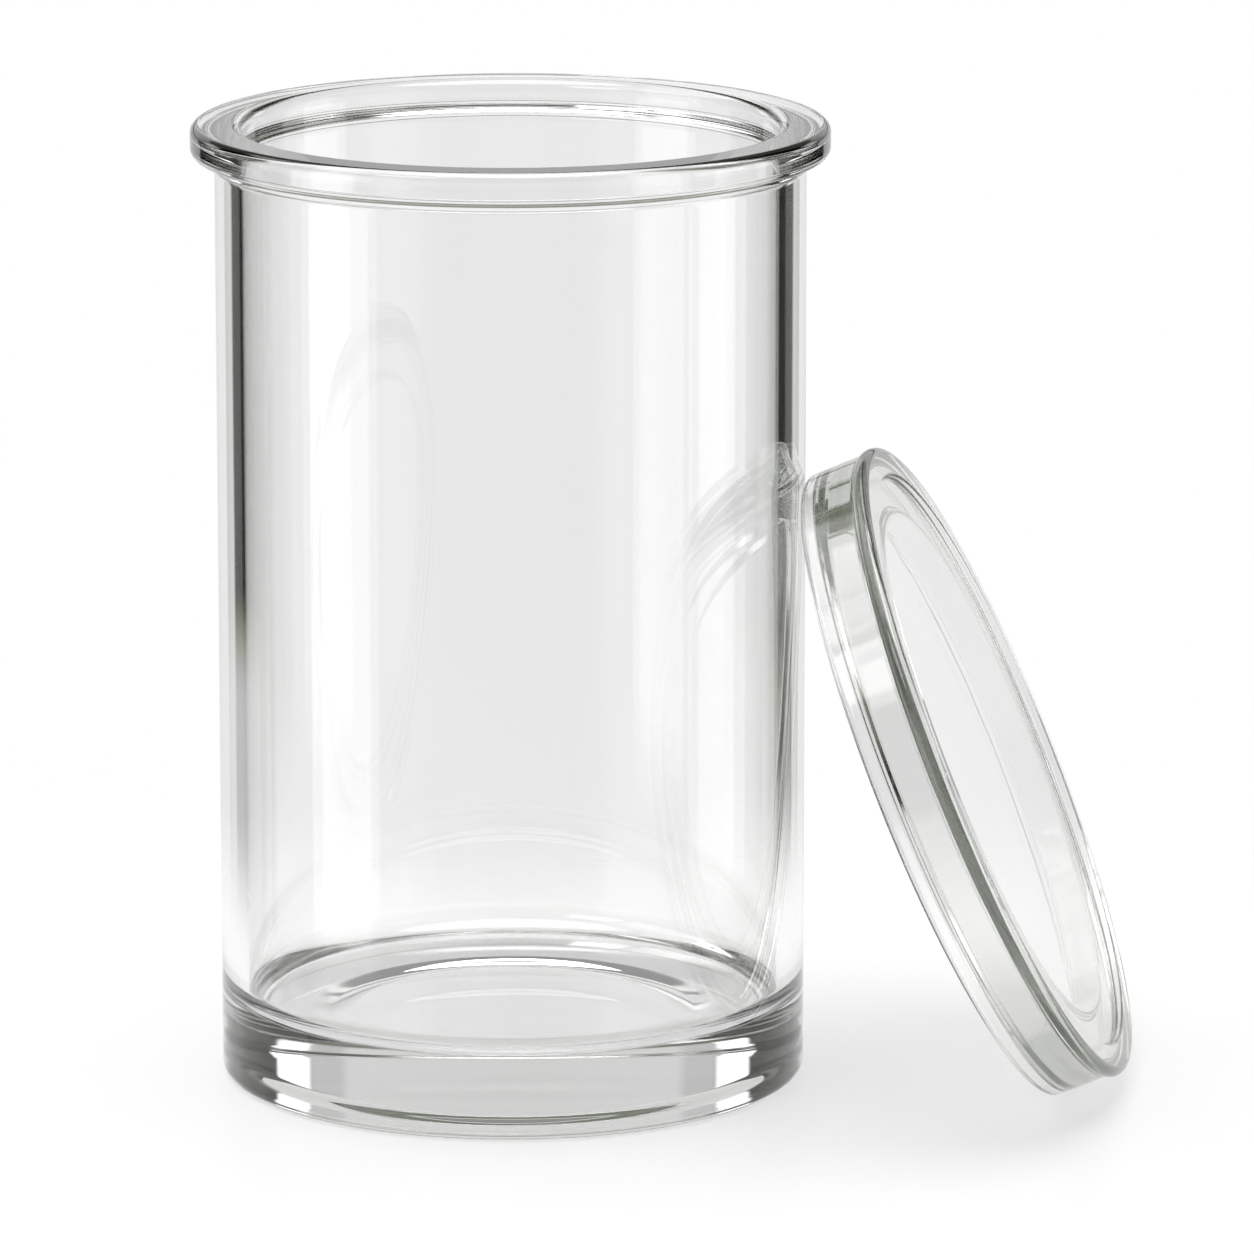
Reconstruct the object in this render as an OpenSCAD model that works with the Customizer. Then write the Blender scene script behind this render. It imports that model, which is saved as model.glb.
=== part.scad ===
// Gas jar with a loose cap, both of clear glass.
// A straight, heavy-based cylinder with a thick turned-out rim stands upright.
// Its cap, which drops over the rim in use, leans against the side of the jar:
// the lip of the cap stands on the bench and its upper edge rests on the wall.
// Millimetres, +Z up, origin at the middle of the jar's underside.

/* [Jar body] */
// Outside diameter of the jar below the rim
body_d = 110; // [90:1:135]
// Overall height of the jar, base to top of rim
jar_h = 181; // [150:1:260]
// Thickness of the jar's side wall
wall_t = 5; // [3.5:0.1:7]

/* [Jar base] */
// Thickness of the solid base, measured at its edge
base_t = 14.7; // [10:0.1:22]
// Radius of the rounded heel round the outside of the base
heel_r = 2.3; // [1:0.1:3.5]
// Radius of the curve from the side wall into the inside floor
floor_r = 5; // [2:0.1:9]
// Inner diameter of the ring that the jar stands on
foot_d = 78; // [60:1:80]
// Width of the curve from that ring up to the flat recess inside it
foot_curve_w = 9; // [6:0.5:14]
// Depth of the flat recess under the base
foot_h = 0.8; // [0.4:0.1:2]

/* [Jar rim] */
// How far the rim stands out past the body
rim_out = 4.5; // [3:0.1:6]
// Height of the rim's outer face
rim_t = 6; // [4.5:0.1:9]
// Radius of the rim's upper and lower outer edges
rim_edge_r = 1.7; // [1:0.1:2]
// Radius of the hollow curve under the rim, at most what the rim leaves for it
rim_fillet_r = 2.6; // [1:0.1:5]
// Radius of the mouth's inner edge
mouth_edge_r = 2.4; // [0.8:0.1:3]

/* [Cap] */
// Radial clearance between the cap's skirt and the jar's rim
cap_play = 0.5; // [0.3:0.1:1.5]
// Thickness of the cap's skirt
skirt_t = 2.4; // [2:0.1:3.5]
// Overall height of the cap, lip to top
cap_h = 13.8; // [12:0.1:22]
// Depth of the skirt, from its lip to the seat that rests on the jar's rim
skirt_h = 2.9; // [2.2:0.1:4]
// Thickness of the cap over its hollow
disc_t = 3; // [2:0.1:4]
// Radius of the rounded lip, at most half of the skirt's thickness
lip_r = 1.1; // [0.5:0.05:1.7]
// Radius of the curve from the skirt into the seat
skirt_fillet_r = 0.6; // [0.3:0.1:1.5]

/* [Cap hollow] */
// Width of the seat, from the skirt to the hollow in the middle of the cap
seat_w = 9; // [5:0.1:14]
// Radius of the edge between the seat and the hollow
hollow_edge_r = 0.8; // [0.3:0.1:0.9]
// Radius of the curve from the hollow's side into its ceiling
hollow_fillet_r = 1; // [0.5:0.1:2]

/* [Cap bead] */
// How far the bead round the top stands out past the skirt
bead_out = 0.6; // [0.4:0.1:1.2]
// Height of the bead
bead_h = 3.2; // [2.7:0.1:4.5]
// Radius of the bead's outer edges, at most half of its height
bead_edge_r = 1.5; // [0.8:0.05:2]
// Radius of the hollow curve between the skirt and the bead
bead_fillet_r = 0.5; // [0.2:0.1:1]
// Width of the raised ring on top of the cap
ring_w = 6; // [4.5:0.1:9]
// Depth of the sunk face inside the raised ring
face_drop = 1.2; // [0.8:0.1:2.2]
// Radius of the curves at the edge of the sunk face, at most half of its depth
face_edge_r = 0.6; // [0.2:0.05:1]

/* [How the cap leans] */
// Angle between the cap and the upright, degrees
lean = 23.5; // [12:0.5:35]
// Direction in which the cap stands off the jar, degrees from +X
lean_turn = -8; // [-30:1:30]
// Gap left between the cap's lip and the jar's wall
lean_gap = 0.3; // [0.1:0.1:1]

/* [Hidden] */

$fn = 180;

// How far a cutting shape runs past the face that it cuts
over = 1;

body_r = body_d / 2;
bore_r = body_r - wall_t;
rim_r = body_r + rim_out;
rim_fillet = min(rim_fillet_r, rim_out - rim_edge_r);
foot_r = foot_d / 2;
// Two equal arcs, the lower one hollow and the upper one round, make the curve
// inside the foot, and meet halfway up it.
foot_curve_r = (pow(foot_curve_w, 2) + pow(foot_h, 2)) / (4 * foot_h);

skirt_in_r = rim_r + cap_play;
skirt_r = skirt_in_r + skirt_t;
bead_r = skirt_r + bead_out;
bead_edge = max(bead_out, min(bead_edge_r, bead_h / 2));
face_r = bead_r - ring_w;
face_edge = min(face_edge_r, face_drop / 2);
lip = min(lip_r, skirt_t / 2);
skirt_fillet = min(skirt_fillet_r, skirt_h - lip);
hollow_r = skirt_in_r - seat_w;
hollow_h = cap_h - face_drop - disc_t - skirt_h;
hollow_fillet = min(hollow_fillet_r, hollow_h / 2);

// The lip is a ring of radius lip bent round a circle of radius lip_mid_r.
lip_mid_r = skirt_r - lip;
// Height of the middle of the cap's lip when its lowest point is on the bench
cap_z = lip_mid_r * cos(lean) - lip * sin(lean) + lip;
// Distance from the jar's axis at which the upper lip comes up to the wall
cap_x = body_r + lean_gap + lip + lip_mid_r * sin(lean) - lip * cos(lean);

// The sliver between a square corner at [0, 0] and an arc of radius r, on the
// side that sx and sy (1 or -1) point to. Cut away, it rounds an outside corner.
// Added, it fills an inside corner with a fillet.
module corner(r, sx, sy) {
    difference() {
        translate([min(0, sx * r), min(0, sy * r)]) square(r);
        translate([sx * r, sy * r]) circle(r);
    }
}

// Half-section of the space inside the jar
module jar_inside() {
    difference() {
        translate([0, base_t]) square([bore_r, jar_h - base_t + over]);
        translate([bore_r, base_t]) corner(floor_r, -1, 1);
    }
}

// Half-section of the space under the base, inside the ring that the jar stands on
module jar_underside() {
    half_w = foot_curve_w / 2;
    translate([0, -over]) square([foot_r, over]);
    square([foot_r - foot_curve_w, foot_h]);
    intersection() {
        translate([foot_r - foot_curve_w, 0]) square([half_w, foot_h]);
        translate([foot_r - foot_curve_w, foot_h - foot_curve_r]) circle(foot_curve_r);
    }
    difference() {
        translate([foot_r - half_w, 0]) square([half_w, foot_h / 2]);
        translate([foot_r, foot_curve_r]) circle(foot_curve_r);
    }
}

// Half-section of the rim's outer ring, from the wall outwards
module rim_section() {
    difference() {
        translate([bore_r, jar_h - rim_t]) square([rim_r - bore_r, rim_t]);
        translate([rim_r, jar_h]) corner(rim_edge_r, -1, -1);
        translate([rim_r, jar_h - rim_t]) corner(rim_edge_r, -1, 1);
    }
    translate([body_r, jar_h - rim_t]) corner(rim_fillet, 1, -1);
}

module jar_section() {
    difference() {
        union() {
            square([body_r, jar_h]);
            rim_section();
        }
        translate([body_r, 0]) corner(heel_r, -1, 1);
        jar_inside();
        translate([bore_r, jar_h]) corner(mouth_edge_r, 1, -1);
        jar_underside();
    }
}

module jar() {
    color([0.86, 0.90, 0.88, 0.45])
        rotate_extrude()
            jar_section();
}

// Half-section of the cap's bead: a round band round the top of the skirt, with
// a hollow curve that runs from the skirt onto it
module bead_section() {
    // From the middle of the bead's lower edge to the middle of the hollow curve
    across = bead_edge + bead_fillet_r - bead_out;
    down = sqrt(pow(bead_edge + bead_fillet_r, 2) - pow(across, 2));
    // How much of that way lies inside the hollow curve
    share = bead_fillet_r / (bead_edge + bead_fillet_r);
    difference() {
        translate([skirt_in_r, cap_h - bead_h]) square([bead_r - skirt_in_r, bead_h]);
        translate([bead_r, cap_h]) corner(bead_edge, -1, -1);
        translate([bead_r, cap_h - bead_h]) corner(bead_edge, -1, 1);
    }
    translate([skirt_r, cap_h - bead_h + bead_edge - down])
        difference() {
            square([bead_fillet_r - share * across, share * down]);
            translate([bead_fillet_r, 0]) circle(bead_fillet_r);
        }
}

// Half-section of the space under the cap: the skirt's inside, which drops over
// the jar's rim, and the hollow in the middle
module cap_inside() {
    difference() {
        translate([0, -over]) square([skirt_in_r, skirt_h + over]);
        translate([skirt_in_r, skirt_h]) corner(skirt_fillet, -1, -1);
    }
    difference() {
        translate([0, skirt_h - over]) square([hollow_r, hollow_h + over]);
        translate([hollow_r, skirt_h + hollow_h]) corner(hollow_fillet, -1, -1);
    }
    translate([hollow_r, skirt_h]) corner(hollow_edge_r, 1, 1);
}

// Half-section of the cap, lip at the bottom and sunk face at the top
module cap_section() {
    difference() {
        union() {
            square([skirt_r, cap_h - bead_edge]);
            square([skirt_in_r, cap_h]);
            bead_section();
        }
        // sunk face
        difference() {
            translate([0, cap_h - face_drop]) square([face_r, face_drop + over]);
            translate([face_r, cap_h - face_drop]) corner(face_edge, -1, 1);
        }
        translate([face_r, cap_h]) corner(face_edge, 1, -1);
        cap_inside();
        // lip
        translate([skirt_r, 0]) corner(lip, -1, 1);
        translate([skirt_in_r, 0]) corner(lip, 1, 1);
    }
}

module cap() {
    color([0.84, 0.89, 0.86, 0.45])
        rotate([0, 0, lean_turn])
            translate([cap_x, 0, cap_z])
                rotate([0, 90 - lean, 0])
                    rotate_extrude()
                        cap_section();
}

jar();
cap();
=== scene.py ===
"""A gas jar of clear glass with its loose cap leaning against it.

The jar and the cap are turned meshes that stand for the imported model's two nodes. The studio
round them is a ring of soft panels and dark flags over a white bench with a soft edge.
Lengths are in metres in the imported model's own frame, +Z up, and angles are in degrees.
"""

import logging
import math
from abc import ABC, abstractmethod
from dataclasses import dataclass
from enum import Enum
from typing import Any, Optional, Union

import bpy
import numpy as np
from mathutils import Matrix, Vector


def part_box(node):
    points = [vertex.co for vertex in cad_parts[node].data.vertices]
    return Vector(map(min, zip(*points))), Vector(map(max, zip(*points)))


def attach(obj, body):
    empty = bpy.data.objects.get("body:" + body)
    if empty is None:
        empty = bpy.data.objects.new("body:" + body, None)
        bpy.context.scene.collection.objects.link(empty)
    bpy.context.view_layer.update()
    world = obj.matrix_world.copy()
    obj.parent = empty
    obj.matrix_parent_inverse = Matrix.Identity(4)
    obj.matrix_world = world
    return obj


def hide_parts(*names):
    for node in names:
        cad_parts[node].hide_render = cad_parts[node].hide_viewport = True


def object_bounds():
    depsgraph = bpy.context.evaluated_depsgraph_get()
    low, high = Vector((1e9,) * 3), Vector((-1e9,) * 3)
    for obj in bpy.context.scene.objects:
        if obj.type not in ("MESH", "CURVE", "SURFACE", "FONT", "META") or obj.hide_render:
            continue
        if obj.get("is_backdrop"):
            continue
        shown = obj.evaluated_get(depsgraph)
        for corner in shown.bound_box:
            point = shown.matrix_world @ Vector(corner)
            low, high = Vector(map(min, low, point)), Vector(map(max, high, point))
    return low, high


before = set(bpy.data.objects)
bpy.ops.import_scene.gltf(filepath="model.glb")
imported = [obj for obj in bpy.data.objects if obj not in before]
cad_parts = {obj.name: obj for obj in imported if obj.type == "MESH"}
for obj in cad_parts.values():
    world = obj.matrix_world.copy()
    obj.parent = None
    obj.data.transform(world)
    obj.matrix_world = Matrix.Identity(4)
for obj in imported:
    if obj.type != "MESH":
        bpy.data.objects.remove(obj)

LOG = logging.getLogger("gas_jar")
MM = 0.001
BODY = "root"
WHITE = (1.0, 1.0, 1.0)

# A Mix node's sockets for colours, by number, because others share their names.
MIX_SHARE = 0
MIX_FIRST = 6
MIX_SECOND = 7
MIX_RESULT = 2

Number = Union[float, int, "Value"]
Colour = tuple[float, float, float]
Fineness = tuple[float, float, float]
Span = tuple[float, float]
Corners = tuple[Vector, Vector]


class Ray(Enum):
    """The kinds of ray that the bench and the background can tell apart."""

    CAMERA = "Is Camera Ray"
    GLOSSY = "Is Glossy Ray"
    TRANSMISSION = "Is Transmission Ray"


# ---------------------------------------------------------------------------
# Node trees
# ---------------------------------------------------------------------------


class Value:
    """A number in a node tree that takes part in plain Python sums."""

    def __init__(self, graph: "Graph", socket: bpy.types.NodeSocket) -> None:
        """Wrap an output socket.

        Args:
            graph: The tree that the socket is in.
            socket: The output that carries the number.
        """
        self.graph = graph
        self.socket = socket

    def _with(self, operation: str, *numbers: Number) -> "Value":
        """Return the result of a Math node fed with these numbers."""
        node = self.graph.add("ShaderNodeMath", {"operation": operation}, dict(enumerate(numbers)))
        return Value(self.graph, node.outputs[0])

    def __add__(self, other: Number) -> "Value":
        """Return self + other."""
        return self._with("ADD", self, other)

    def __radd__(self, other: Number) -> "Value":
        """Return other + self."""
        return self._with("ADD", other, self)

    def __sub__(self, other: Number) -> "Value":
        """Return self - other."""
        return self._with("SUBTRACT", self, other)

    def __rsub__(self, other: Number) -> "Value":
        """Return other - self."""
        return self._with("SUBTRACT", other, self)

    def __mul__(self, other: Number) -> "Value":
        """Return self * other."""
        return self._with("MULTIPLY", self, other)

    def __rmul__(self, other: Number) -> "Value":
        """Return other * self."""
        return self._with("MULTIPLY", other, self)

    def __abs__(self) -> "Value":
        """Return the size of the number without its sign."""
        return self._with("ABSOLUTE", self)

    def larger(self, other: Number) -> "Value":
        """Return the larger of the two numbers."""
        return self._with("MAXIMUM", self, other)

    def wrapped(self, low: float, high: float) -> "Value":
        """Return the number brought into a repeating range."""
        return self._with("WRAP", self, high, low)

    def angle_from(self, along: "Value") -> "Value":
        """Return the angle of the point (along, self), in radians."""
        return self._with("ARCTAN2", self, along)

    def arc_sine(self) -> "Value":
        """Return the angle whose sine is the number, in radians."""
        return self._with("ARCSINE", self)

    def eased(self, start: float, end: float) -> "Value":
        """Return 0 before start and 1 past end, with a smooth rise between.

        Args:
            start: The number at which the result leaves 0.
            end: The number at which it reaches 1, above or below start.

        Returns:
            The eased number.
        """
        node = self.graph.add(
            "ShaderNodeMapRange",
            {"interpolation_type": "SMOOTHSTEP"},
            {"Value": self, "From Min": start, "From Max": end},
        )
        return Value(self.graph, node.outputs["Result"])


class Graph:
    """A node tree and the one method that adds nodes to it."""

    def __init__(self, tree: bpy.types.NodeTree) -> None:
        """Empty the tree.

        Args:
            tree: The node tree of a material or a world.
        """
        self.tree = tree
        tree.nodes.clear()

    def add(
        self,
        kind: str,
        settings: Optional[dict[str, Any]] = None,
        inputs: Optional[dict[Union[str, int], Any]] = None,
    ) -> bpy.types.Node:
        """Add one node.

        Args:
            kind: The node's type name.
            settings: Its properties, set before its sockets.
            inputs: What each input socket holds: a plain value, a Value or an output socket.

        Returns:
            The new node.
        """
        node = self.tree.nodes.new(kind)
        for name, setting in (settings or {}).items():
            setattr(node, name, setting)
        for name, given in (inputs or {}).items():
            source = given.socket if isinstance(given, Value) else given
            if isinstance(source, bpy.types.NodeSocket):
                self.tree.links.new(source, node.inputs[name])
            else:
                node.inputs[name].default_value = source
        return node

    def on_rays(self, *kinds: Ray) -> Value:
        """Tell some kinds of ray from all others.

        Args:
            kinds: The kinds to pick out.

        Returns:
            1 on rays of these kinds and 0 on the rest.
        """
        paths = self.add("ShaderNodeLightPath")
        found = [Value(self, paths.outputs[kind.value]) for kind in kinds]
        either = found[0]
        for other in found[1:]:
            either = either.larger(other)
        return either

    def mixed(self, share: Number, first: Colour, second: Colour) -> bpy.types.NodeSocket:
        """Return a colour between two others.

        Args:
            share: How much of the second colour there is, 0 to 1.
            first: The colour at 0.
            second: The colour at 1.

        Returns:
            The output socket that carries the colour.
        """
        inputs = {MIX_SHARE: share, MIX_FIRST: (*first, 1), MIX_SECOND: (*second, 1)}
        node = self.add("ShaderNodeMix", {"data_type": "RGBA"}, inputs)
        return node.outputs[MIX_RESULT]


# ---------------------------------------------------------------------------
# Turned meshes
# ---------------------------------------------------------------------------


@dataclass(frozen=True)
class Corner:
    """A corner of a turned outline.

    Attributes:
        r: Its distance from the axis.
        z: Its height along the axis.
        rounding: The radius of the arc that rounds it, or 0.
    """

    r: float
    z: float
    rounding: float = 0.0

    def place(self) -> Vector:
        """Return the corner as a flat vector."""
        return Vector((self.r, self.z))


@dataclass(frozen=True)
class Outline:
    """The half-section of a turned piece, as corners joined by straight stretches.

    Attributes:
        corners: From a point on the axis, round the section, back to the axis.
        arc_step: The most that an arc turns between two points, in degrees.
        fewest: The fewest steps that an arc is made of.
        longest: The longest stretch without a point.
        guard: How near to an arc's end the straight stretch has its first point.
        weld: How near two points are when they count as one, as where two arcs meet.
    """

    corners: tuple[Corner, ...]
    arc_step: float = 6.0
    fewest: int = 2
    longest: float = 6 * MM
    guard: float = 0.12 * MM
    weld: float = 0.001 * MM

    def _arc(self, before: Vector, corner: Corner, after: Vector) -> list[Vector]:
        """Round one corner.

        Args:
            before: The corner before it.
            corner: The corner.
            after: The corner after it.

        Returns:
            The points of its arc, ends included, or the corner alone where it is sharp.
        """
        here = corner.place()
        if corner.rounding <= 0:
            return [here]
        back = (before - here).normalized()
        ahead = (after - here).normalized()
        half = back.angle(ahead) / 2
        middle = here + (back + ahead).normalized() * (corner.rounding / math.sin(half))
        reach = corner.rounding / math.tan(half)
        first = here + back * reach - middle
        turn = first.angle_signed(here + ahead * reach - middle)
        count = max(self.fewest, math.ceil(abs(math.degrees(turn)) / self.arc_step))
        # The signed angle counts clockwise and a rotation counts the other way.
        return [middle + Matrix.Rotation(-turn * i / count, 2) @ first for i in range(count + 1)]

    def _stretch(self, start: Vector, end: Vector) -> list[Vector]:
        """Set points along the line between two arcs.

        Args:
            start: Where the first arc ends.
            end: Where the next arc starts.

        Returns:
            The points between the two, without the two themselves, or none on a short line.
        """
        length = (end - start).length
        inner = length - 2 * self.guard
        if inner < 2 * self.guard:
            return []
        count = max(1, math.ceil(inner / self.longest))
        direction = (end - start) / length
        return [start + direction * (self.guard + inner * i / count) for i in range(count + 1)]

    def points(self) -> list[tuple[float, float]]:
        """Follow the whole outline.

        Returns:
            Its points as (r, z) pairs, with arcs at the rounded corners.
        """
        places = [corner.place() for corner in self.corners]
        last = len(places) - 1
        arcs = [
            self._arc(places[max(i - 1, 0)], corner, places[min(i + 1, last)])
            for i, corner in enumerate(self.corners)
        ]
        found: list[Vector] = []
        for i, arc in enumerate(arcs):
            meets = bool(found) and (arc[0] - found[-1]).length < self.weld
            found.extend(arc[1:] if meets else arc)
            if i < last:
                found.extend(self._stretch(arc[-1], arcs[i + 1][0]))
        return [(point.x, point.y) for point in found]


def turned_mesh(name: str, outline: Outline, sides: int) -> bpy.types.Mesh:
    """Turn an outline about Z into one closed mesh.

    Args:
        name: The mesh's name.
        outline: A half-section that starts and ends on the axis.
        sides: How many columns the turned surface has.

    Returns:
        The mesh, smooth and with its faces turned outwards.
    """
    profile = np.array(outline.points())
    ring_r, ring_z = profile[1:-1, 0], profile[1:-1, 1]
    turn = np.linspace(0, 2 * math.pi, sides, endpoint=False)
    east, north = np.outer(ring_r, np.cos(turn)), np.outer(ring_r, np.sin(turn))
    rings = np.stack([east, north, np.outer(ring_z, np.ones(sides))], axis=-1)
    poles = [(0, 0, profile[0, 1]), (0, 0, profile[-1, 1])]
    places = np.concatenate([rings.reshape(-1, 3), poles])
    first_pole = len(places) - 2
    rows = len(ring_r)
    column = np.arange(sides)
    beside = (column + 1) % sides
    faces: list[list[int]] = []
    for row in range(rows - 1):
        low, high = row * sides, (row + 1) * sides
        faces += np.stack([low + column, low + beside, high + beside, high + column], 1).tolist()
    top = (rows - 1) * sides
    faces += [[first_pole, int(b), int(a)] for a, b in zip(column, beside)]
    faces += [[first_pole + 1, int(top + a), int(top + b)] for a, b in zip(column, beside)]
    mesh = bpy.data.meshes.new(name)
    mesh.from_pydata(places.tolist(), [], faces)
    mesh.validate()
    mesh.shade_smooth()
    return mesh


# ---------------------------------------------------------------------------
# Glass
# ---------------------------------------------------------------------------


@dataclass(frozen=True)
class ClearGlass:
    """Clear pressed glass, colourless when thin and a faint olive where it is thick.

    Attributes:
        name: The material's name.
        ior: How strongly it bends light.
        stain: The colour that light keeps on its way through.
        strength: How fast the stain builds up, per metre.
        cords: How fine the streaks in the melt are along the piece's own X, Y and Z, per metre.
        cord_edges: Where in the cloud of streaks a streak starts and where it is full.
        cord_tint: The colour of the streaks, next to clear glass.
        skin: How fine the unevenness of the pressed skin is along X, Y and Z, per metre.
        skin_depth: How deep that unevenness is.
        cloud_detail: How many finer layers each cloud has.
        cloud_roughness: How strong those layers are.
        scuff: How matt the rubbed foot is.
        scuff_edges: Where in the skin's cloud the rubbing starts and where it is full.
        scuff_full: How far up from the foot it is rubbed all over.
        scuff_height: How far up the rubbing reaches.
    """

    name: str
    ior: float = 1.52
    stain: Colour = (0.59, 0.598, 0.583)
    strength: float = 8.5
    cords: Fineness = (35.0, 35.0, 6.0)
    cord_edges: Span = (0.35, 0.65)
    cord_tint: Colour = (0.985, 0.987, 0.983)
    skin: Fineness = (60.0, 60.0, 14.0)
    skin_depth: float = 0.012 * MM
    cloud_detail: float = 2.0
    cloud_roughness: float = 0.45
    scuff: float = 0.16
    scuff_edges: Span = (0.2, 0.8)
    scuff_full: float = 0.035 * MM
    scuff_height: float = 0.35 * MM

    def _own_place(self, graph: Graph, place: Matrix) -> bpy.types.NodeSocket:
        """Return the surface's place in the piece's own frame.

        Args:
            graph: The tree to add to.
            place: Where the piece stands.

        Returns:
            The output socket that carries the place.
        """
        here = graph.add("ShaderNodeTexCoord").outputs["Object"]
        inputs = {0: here, "Location": place.to_translation(), "Rotation": place.to_euler()}
        return graph.add("ShaderNodeMapping", {"vector_type": "TEXTURE"}, inputs).outputs[0]

    def _cloud(self, graph: Graph, place: bpy.types.NodeSocket, fineness: Fineness) -> Value:
        """Add a soft cloud that is finer along some axes than along others.

        Args:
            graph: The tree to add to.
            place: The output socket that carries the place.
            fineness: How fine it is along X, Y and Z, per metre.

        Returns:
            The cloud, 0 to 1.
        """
        scaled = graph.add("ShaderNodeVectorMath", {"operation": "MULTIPLY"}, {0: place, 1: fineness})
        inputs = {
            "Vector": scaled.outputs[0],
            "Scale": 1.0,
            "Detail": self.cloud_detail,
            "Roughness": self.cloud_roughness,
        }
        return Value(graph, graph.add("ShaderNodeTexNoise", None, inputs).outputs[0])

    def material(self, place: Matrix) -> bpy.types.Material:
        """Return the finish as a material with its own node tree.

        Args:
            place: Where the piece stands, so that the streaks and the skin follow its own axis.

        Returns:
            The material.
        """
        material = bpy.data.materials.new(self.name)
        material.use_nodes = True
        graph = Graph(material.node_tree)
        own = self._own_place(graph, place)
        cords = self._cloud(graph, own, self.cords)
        skin = self._cloud(graph, own, self.skin)
        up = graph.add("ShaderNodeSeparateXYZ", None, {0: own}).outputs[2]
        rubbed = Value(graph, up).eased(self.scuff_height, self.scuff_full)
        bump = graph.add(
            "ShaderNodeBump", None, {"Strength": 1.0, "Distance": self.skin_depth, "Height": skin}
        )
        glass = graph.add(
            "ShaderNodeBsdfPrincipled",
            None,
            {
                "Base Color": graph.mixed(cords.eased(*self.cord_edges), WHITE, self.cord_tint),
                "Roughness": rubbed * skin.eased(*self.scuff_edges) * self.scuff,
                "IOR": self.ior,
                "Transmission Weight": 1.0,
                "Normal": bump.outputs[0],
            },
        )
        depth = graph.add(
            "ShaderNodeVolumeAbsorption",
            None,
            {"Color": (*self.stain, 1), "Density": self.strength},
        )
        graph.add(
            "ShaderNodeOutputMaterial",
            None,
            {"Surface": glass.outputs[0], "Volume": depth.outputs[0]},
        )
        return material


# ---------------------------------------------------------------------------
# The pieces
# ---------------------------------------------------------------------------


@dataclass
class TurnedPiece(ABC):
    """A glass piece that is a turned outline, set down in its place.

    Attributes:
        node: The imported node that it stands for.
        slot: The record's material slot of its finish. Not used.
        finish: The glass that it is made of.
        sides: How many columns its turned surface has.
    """

    node: str
    slot: str
    finish: ClearGlass
    sides: int = 288

    @abstractmethod
    def outline(self) -> Outline:
        """Return the half-section of the piece about its own axis."""

    @abstractmethod
    def place(self) -> Matrix:
        """Return where the piece's own axis and foot go."""

    def build(self) -> bpy.types.Object:
        """Make the piece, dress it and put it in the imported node's place.
        """
        name = f"{self.node}_glass"
        mesh = turned_mesh(name, self.outline(), self.sides)
        mesh.transform(self.place())
        mesh.materials.append(self.finish.material(self.place()))
        piece = bpy.data.objects.new(name, mesh)
        bpy.context.scene.collection.objects.link(piece)
        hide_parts(self.node)
        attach(piece, BODY)
        return piece


@dataclass
class Jar(TurnedPiece):
    """The jar: a straight wall, a heavy base and a thick turned-out rim.

    Attributes:
        wall: The thickness of the side wall.
        rim_out: How far the rim stands out past the wall.
        rim_height: The height of the rim's outer face.
        rim_edge: The radius of the rim's two outer edges.
        rim_fillet: The radius of the hollow curve under the rim.
        mouth_edge: The radius of the mouth's inner edge.
        base: The thickness of the solid base at its edge.
        heel: The radius of the rounded heel.
        floor_curve: The radius between the wall and the inside floor.
        foot: The inner radius of the ring that the jar stands on.
        foot_curve: The width of the curve from that ring up to the recess.
        foot_height: The depth of the flat recess under the base.
    """

    wall: float = 5 * MM
    rim_out: float = 4.5 * MM
    rim_height: float = 6 * MM
    rim_edge: float = 1.7 * MM
    rim_fillet: float = 2.6 * MM
    mouth_edge: float = 2.4 * MM
    base: float = 14.7 * MM
    heel: float = 2.3 * MM
    floor_curve: float = 5 * MM
    foot: float = 39 * MM
    foot_curve: float = 9 * MM
    foot_height: float = 0.8 * MM

    def outline(self) -> Outline:
        """Draw the half-section, from under the base, up the outside, down the inside.

        Returns:
            The outline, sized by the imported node's box.
        """
        low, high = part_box(self.node)
        rim = (high.x - low.x) / 2
        top = high.z
        body = rim - self.rim_out
        bore = body - self.wall
        under_rim = top - self.rim_height
        # Two equal arcs, which meet half-way, lead from the foot ring up to the recess.
        curve = (self.foot_curve**2 + self.foot_height**2) / (4 * self.foot_height)
        turn = 2 * math.atan(self.foot_height / self.foot_curve)
        tangent = curve * math.tan(turn / 2)
        return Outline(
            (
                Corner(0, self.foot_height),
                Corner(self.foot - self.foot_curve + tangent, self.foot_height, curve),
                Corner(self.foot - tangent, 0, curve),
                Corner(body, 0, self.heel),
                Corner(body, under_rim, self.rim_fillet),
                Corner(rim, under_rim, self.rim_edge),
                Corner(rim, top, self.rim_edge),
                Corner(bore, top, self.mouth_edge),
                Corner(bore, self.base, self.floor_curve),
                Corner(0, self.base),
            )
        )

    def place(self) -> Matrix:
        """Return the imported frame's own place, where the jar stands."""
        return Matrix.Identity(4)


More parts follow.
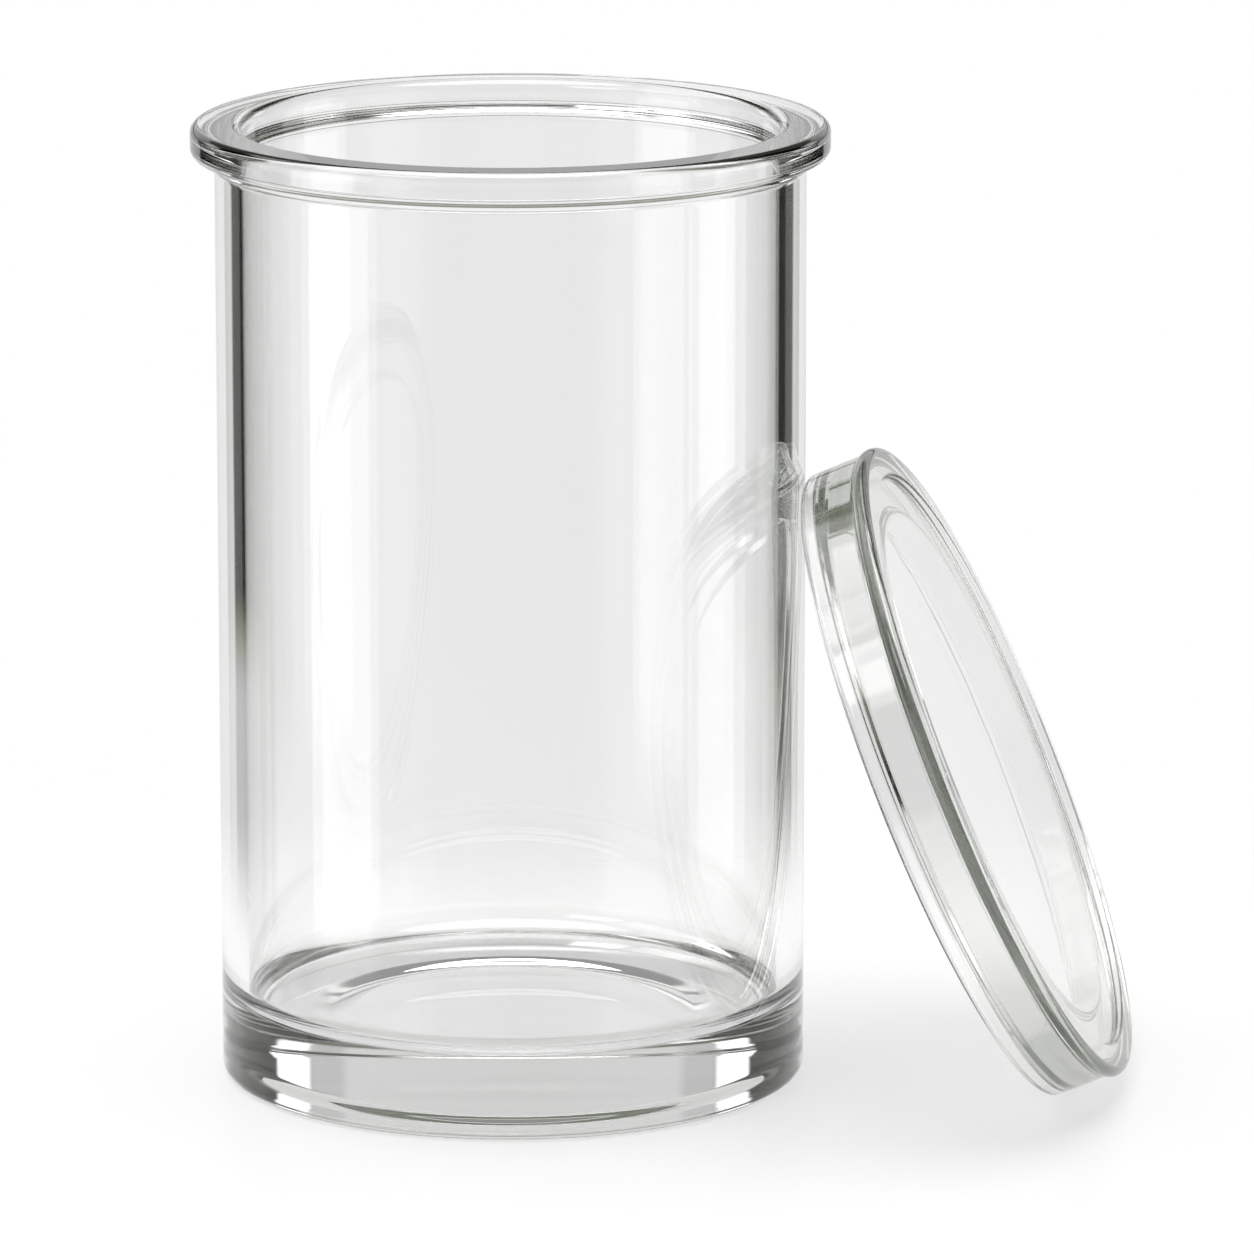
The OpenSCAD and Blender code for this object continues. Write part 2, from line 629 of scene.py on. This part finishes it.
@dataclass
class Cap(TurnedPiece):
    """The cap: a disc with a short skirt, a bead round its edge and a sunk face.

    Attributes:
        height: The overall height, lip to top.
        skirt: The thickness of the skirt.
        skirt_inside: The radius of the skirt's inner face.
        seat: The depth of the seat inside the skirt, from the lip.
        seat_fillet: The radius between the skirt and the seat.
        disc: The thickness over the hollow.
        hollow_radius: The radius of the hollow in the middle.
        hollow_fillet: The radius between the hollow's side and its ceiling.
        hollow_edge: The radius of the edge between the seat and the hollow.
        lip: The radius of the rounded lip.
        bead_out: How far the bead stands out past the skirt.
        bead_height: The height of the bead.
        bead_edge: The radius of the bead's two outer edges.
        bead_fillet: The radius of the hollow curve from the skirt onto the bead.
        ring_width: The width of the raised ring on top.
        face_drop: The depth of the sunk face inside the ring.
        face_edge: The radius of the two edges between the ring and the face.
        lean: The angle between the cap and the upright.
        lean_turn: The direction in which it stands off the jar, from +X.
        lean_gap: The gap between its lip and the jar's wall.
        wall_radius: The outer radius of the jar's wall.
    """

    height: float = 13.8 * MM
    skirt: float = 2.4 * MM
    skirt_inside: float = 60 * MM
    seat: float = 2.9 * MM
    seat_fillet: float = 0.6 * MM
    disc: float = 3 * MM
    hollow_radius: float = 51 * MM
    hollow_fillet: float = 1 * MM
    hollow_edge: float = 0.8 * MM
    lip: float = 1.1 * MM
    bead_out: float = 0.6 * MM
    bead_height: float = 3.2 * MM
    bead_edge: float = 1.5 * MM
    bead_fillet: float = 0.5 * MM
    ring_width: float = 6 * MM
    face_drop: float = 1.2 * MM
    face_edge: float = 0.6 * MM
    lean: float = 23.5
    lean_turn: float = -8.0
    lean_gap: float = 0.3 * MM
    wall_radius: float = 55 * MM

    @property
    def skirt_outside(self) -> float:
        """Return the radius of the skirt's outer face."""
        return self.skirt_inside + self.skirt

    def outline(self) -> Outline:
        """Draw the half-section, from the hollow, round the lip and bead, to the sunk face.

        Returns:
            The outline, with the lip at height 0.
        """
        outside = self.skirt_outside
        bead = outside + self.bead_out
        ring = bead - self.ring_width
        face = self.height - self.face_drop
        ceiling = face - self.disc
        # The bead's lower edge and the fillet under it are two arcs with one tangent.
        reach = self.bead_edge + self.bead_fillet
        slope = math.acos(1 - self.bead_out / reach)
        bead_middle = self.height - self.bead_height + self.bead_edge
        fillet_middle = bead_middle - reach * math.sin(slope)
        tangent = math.tan(slope / 2)
        return Outline(
            (
                Corner(0, ceiling),
                Corner(self.hollow_radius, ceiling, self.hollow_fillet),
                Corner(self.hollow_radius, self.seat, self.hollow_edge),
                Corner(self.skirt_inside, self.seat, self.seat_fillet),
                Corner(self.skirt_inside, 0, self.lip),
                Corner(outside, 0, self.lip),
                Corner(outside, fillet_middle + self.bead_fillet * tangent, self.bead_fillet),
                Corner(bead, bead_middle - self.bead_edge * tangent, self.bead_edge),
                Corner(bead, self.height, self.bead_edge),
                Corner(ring, self.height, self.face_edge),
                Corner(ring, face, self.face_edge),
                Corner(0, face),
            )
        )

    def place(self) -> Matrix:
        """Lean the cap: its lip on the bench, its upper lip up to the jar's wall.

        Returns:
            Where its own axis and lip go.
        """
        lean = math.radians(self.lean)
        # The lip's round edge touches the bench below and stops short of the wall above.
        middle = self.skirt_outside - self.lip
        up = middle * math.cos(lean) - self.lip * math.sin(lean) + self.lip
        out = self.wall_radius + self.lean_gap + self.lip
        out += middle * math.sin(lean) - self.lip * math.cos(lean)
        turn = Matrix.Rotation(math.radians(self.lean_turn), 4, "Z")
        tip = Matrix.Rotation(math.radians(90 - self.lean), 4, "Y")
        return turn @ Matrix.Translation((out, 0, up)) @ tip


# ---------------------------------------------------------------------------
# Studio
# ---------------------------------------------------------------------------


@dataclass(frozen=True)
class Panel:
    """A patch of the studio round the object, seen as a direction from it.

    Attributes:
        heading: The compass angle of its middle: 0 is behind the object, 90 is +X.
        half_width: Half of the compass angle that it spans, 180 for all round.
        low: The height angle of its lower edge.
        high: The height angle of its upper edge.
        light: How bright it is, where 1 is white.
        edge: How softly it starts and ends, as an angle.
    """

    heading: float
    half_width: float
    low: float
    high: float
    light: float
    edge: float = 2.0

    def mask(self, heading: Value, height: Value) -> Value:
        """Tell whether a direction meets the panel.

        Args:
            heading: The direction's compass angle, in radians.
            height: Its height angle, in radians.

        Returns:
            1 inside the panel and 0 outside it, with the soft edge between.
        """
        soft = math.radians(self.edge) / 2
        low, high = math.radians(self.low), math.radians(self.high)
        inside = height.eased(low - soft, low + soft) * height.eased(high + soft, high - soft)
        if self.half_width >= 180:
            return inside
        away = abs((heading - math.radians(self.heading)).wrapped(-math.pi, math.pi))
        span = math.radians(self.half_width)
        return inside * away.eased(span + soft, span - soft)


@dataclass
class Studio:
    """The light round the object, the bench under it and the camera.

    Attributes:
        packed: The lowest and highest corners of the object.
        shade: The colour of its darkest parts, a faint olive.
        shade_edges: The light up to which that colour is full, and the light that is white.
        surround: The light of the directions that no panel covers.
        panels: The panels, later ones over earlier ones.
        bench_radius: How far the bench reaches.
        bench_sides: How many sides its round edge has.
        bench_colour: The colour of its white.
        bench_roughness: How matt it is.
        bench_ior: How strongly its varnish mirrors.
        bench_height: Its height, a hair under the object.
        bench_lift: How far its white is lifted to the background's where it is seen.
        bench_fade_start: How far outside the object's footprint it starts to fade.
        bench_fade_end: How far outside it has faded out.
        camera_place: Where the camera stands.
        camera_tilt: How far it looks down.
        camera_pan: How far it is turned towards +X.
        camera_lens: Its focal length, in millimetres, on a sensor of camera_sensor.
        camera_sensor: The width of that sensor.
        camera_reach: How far the camera sees.
    """

    packed: Corners
    shade: Colour = (1.0, 1.1, 0.78)
    shade_edges: Span = (0.1, 0.5)
    surround: float = 0.02
    panels: tuple[Panel, ...] = (
        # The big softbox overhead and the dark ceiling behind and beside it.
        Panel(0, 180, 65, 90, 4.7, 8),
        Panel(95, 32, 38, 65, 0.3, 6),
        Panel(0, 40, 16, 36, 0.2, 6),
        Panel(0, 40, 36, 54, 0.4, 6),
        # The white ground, all round and in front.
        Panel(0, 180, -90, -17, 0.85, 4),
        Panel(180, 48, -17, -3, 0.8, 6),
        # The pale foot of the dark gaps on either side of the background.
        Panel(-46, 17, -17, -12.5, 0.5, 0.8),
        Panel(42, 14, -17, -12.8, 0.4, 1),
        # The background, seen straight through the jar.
        Panel(-2, 29, -30, 4, 0.85, 3),
        # Two high lamps on the left, which whiten patches of the cap's band.
        Panel(-72, 42, 36, 60, 2.2, 5),
        Panel(-135, 15, 36, 52, 4.0, 3),
        # The background behind the cap's face.
        Panel(24, 12, -8, 4, 0.95, 3),
        # The upper background and its two bright ends, seen through the solid base.
        Panel(0, 34, 6, 20, 0.72, 3),
        Panel(0, 26, 6, 20, 0.92, 3),
        Panel(-39, 5, 8, 20, 1.9, 2),
        Panel(39, 5, 8, 20, 1.9, 2),
        # The side walls, lower and upper.
        Panel(-104, 38, -60, 5, 1.0, 6),
        Panel(105, 45, -60, 5, 0.9, 6),
        Panel(-110, 30, 3, 22, 1.0, 5),
        Panel(112, 32, 3, 22, 1.0, 5),
        # The strip lamps at the sides, which draw the upright streaks on the jar.
        Panel(-109, 14, -40, -4, 2.6, 2),
        Panel(89, 13, -40, -4, 2.5, 2),
        Panel(129, 12, -40, -4, 1.2, 6),
        # A low dark flag on the right, which draws the cap's dark lines.
        Panel(38, 26, -50, -17.5, 0.1, 4),
    )
    bench_radius: float = 0.45
    bench_sides: int = 96
    bench_colour: Colour = (0.93, 0.93, 0.93)
    bench_roughness: float = 0.3
    bench_ior: float = 1.35
    bench_height: float = -0.02 * MM
    bench_lift: float = 0.6
    bench_fade_start: float = 0.03
    bench_fade_end: float = 0.17
    camera_place: tuple[float, float, float] = (0.0, -1.6504, 0.4481)
    camera_tilt: float = 12.41
    camera_pan: float = 0.75
    camera_lens: float = 258.3
    camera_sensor: float = 36.0
    camera_reach: float = 20.0

    def build(self) -> None:
        """Make the world, the bench and the camera."""
        self._world()
        self._bench()
        self._camera()
        bpy.context.scene.view_settings.view_transform = "Standard"

    def _world(self) -> None:
        """Light the scene from the panels, and show plain white to the camera."""
        world = bpy.data.worlds.new("studio")
        bpy.context.scene.world = world
        world.use_nodes = True
        graph = Graph(world.node_tree)
        direction = graph.add("ShaderNodeTexCoord").outputs["Generated"]
        split = graph.add("ShaderNodeSeparateXYZ", None, {0: direction})
        east, north, up = (Value(graph, split.outputs[i]) for i in range(3))
        heading = east.angle_from(north)
        height = up.arc_sine()
        light: Number = self.surround
        for panel in self.panels:
            mask = panel.mask(heading, height)
            light = light * (1 - mask) + panel.light * mask
        to_camera = graph.on_rays(Ray.CAMERA)
        shown = light * (1 - to_camera) + to_camera
        colour = graph.mixed(shown.eased(*self.shade_edges), self.shade, WHITE)
        sky = graph.add("ShaderNodeBackground", None, {"Color": colour, "Strength": shown})
        graph.add("ShaderNodeOutputWorld", None, {"Surface": sky.outputs[0]})

    def _bench(self) -> None:
        """Lay a white bench under the object, fading out at its edge."""
        mesh = bpy.data.meshes.new("bench")
        turns = [2 * math.pi * i / self.bench_sides for i in range(self.bench_sides)]
        edge = [(self.bench_radius * math.cos(t), self.bench_radius * math.sin(t), 0) for t in turns]
        mesh.from_pydata(edge, [], [list(range(self.bench_sides))])
        mesh.materials.append(self._bench_finish())
        bench = bpy.data.objects.new("bench", mesh)
        bench.location.z = self.bench_height
        bpy.context.scene.collection.objects.link(bench)
        bench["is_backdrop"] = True

    def _beside(self, graph: Graph) -> Value:
        """Measure how far a spot on the bench lies outside the object's own footprint.

        Args:
            graph: The tree to add to.

        Returns:
            The distance, 0 under the object.
        """
        low, high = self.packed
        steps: tuple[tuple[str, Any], ...] = (
            ("SUBTRACT", (low + high) / 2),
            ("ABSOLUTE", None),
            ("SUBTRACT", (high - low) / 2),
            ("MAXIMUM", (0, 0, 0)),
        )
        spot = graph.add("ShaderNodeTexCoord").outputs["Object"]
        for operation, other in steps:
            inputs = {0: spot} if other is None else {0: spot, 1: other}
            spot = graph.add("ShaderNodeVectorMath", {"operation": operation}, inputs).outputs[0]
        length = graph.add("ShaderNodeVectorMath", {"operation": "LENGTH"}, {0: spot})
        return Value(graph, length.outputs["Value"])

    def _bench_finish(self) -> bpy.types.Material:
        """Make the bench's white, lifted where it is seen and faded out at its edge.

        Returns:
            The material.
        """
        material = bpy.data.materials.new("bench_white")
        material.use_nodes = True
        graph = Graph(material.node_tree)
        solid = self._beside(graph).eased(self.bench_fade_end, self.bench_fade_start)
        lift = graph.on_rays(*Ray) * self.bench_lift
        white = graph.add(
            "ShaderNodeBsdfPrincipled",
            None,
            {
                "Base Color": (*self.bench_colour, 1),
                "Roughness": self.bench_roughness,
                "IOR": self.bench_ior,
            },
        )
        glow = graph.add("ShaderNodeEmission", None, {"Color": (*WHITE, 1), "Strength": 1.0})
        clear = graph.add("ShaderNodeBsdfTransparent", None, {"Color": (*WHITE, 1)})
        layers = {0: lift, 1: white.outputs[0], 2: glow.outputs[0]}
        lifted = graph.add("ShaderNodeMixShader", None, layers)
        layers = {0: solid, 1: clear.outputs[0], 2: lifted.outputs[0]}
        faded = graph.add("ShaderNodeMixShader", None, layers)
        graph.add("ShaderNodeOutputMaterial", None, {"Surface": faded.outputs[0]})
        return material

    def _camera(self) -> None:
        """Stand the camera in front of the object, looking slightly down."""
        data = bpy.data.cameras.new("camera")
        data.lens = self.camera_lens
        data.sensor_width = self.camera_sensor
        data.clip_end = self.camera_reach
        camera = bpy.data.objects.new("camera", data)
        camera.location = self.camera_place
        camera.rotation_euler = (math.radians(90 - self.camera_tilt), 0, -math.radians(self.camera_pan))
        bpy.context.scene.collection.objects.link(camera)
        bpy.context.scene.camera = camera


def set_bounces(deepest: int) -> None:
    """Let light pass through as many glass walls as the pieces have behind one another.

    Args:
        deepest: How many surfaces a ray may meet.
    """
    cycles = bpy.context.scene.cycles
    cycles.max_bounces = deepest
    cycles.transmission_bounces = deepest
    cycles.glossy_bounces = deepest
    cycles.transparent_max_bounces = deepest


def main(packed: Corners) -> None:
    """Build the pieces and the studio, and report each one.

    Args:
        packed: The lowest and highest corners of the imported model.
    """
    logging.basicConfig(level=logging.INFO)
    jar_glass = ClearGlass("jar_glass")
    cap_glass = ClearGlass(
        "cap_glass",
        stain=(0.577, 0.598, 0.556),
        strength=28.0,
        skin=(30.0, 30.0, 300.0),
        skin_depth=0.014 * MM,
    )
    pieces: tuple[TurnedPiece, ...] = (
        Jar("jar", "jar_glass", jar_glass),
        Cap("cap", "cap_glass", cap_glass),
    )
    for piece in pieces:
        made = piece.build()
        LOG.info("%s: %d faces", made.name, len(made.data.polygons))
    Studio(packed).build()
    set_bounces(deepest=20)


if __name__ == "__main__":
    main(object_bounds())
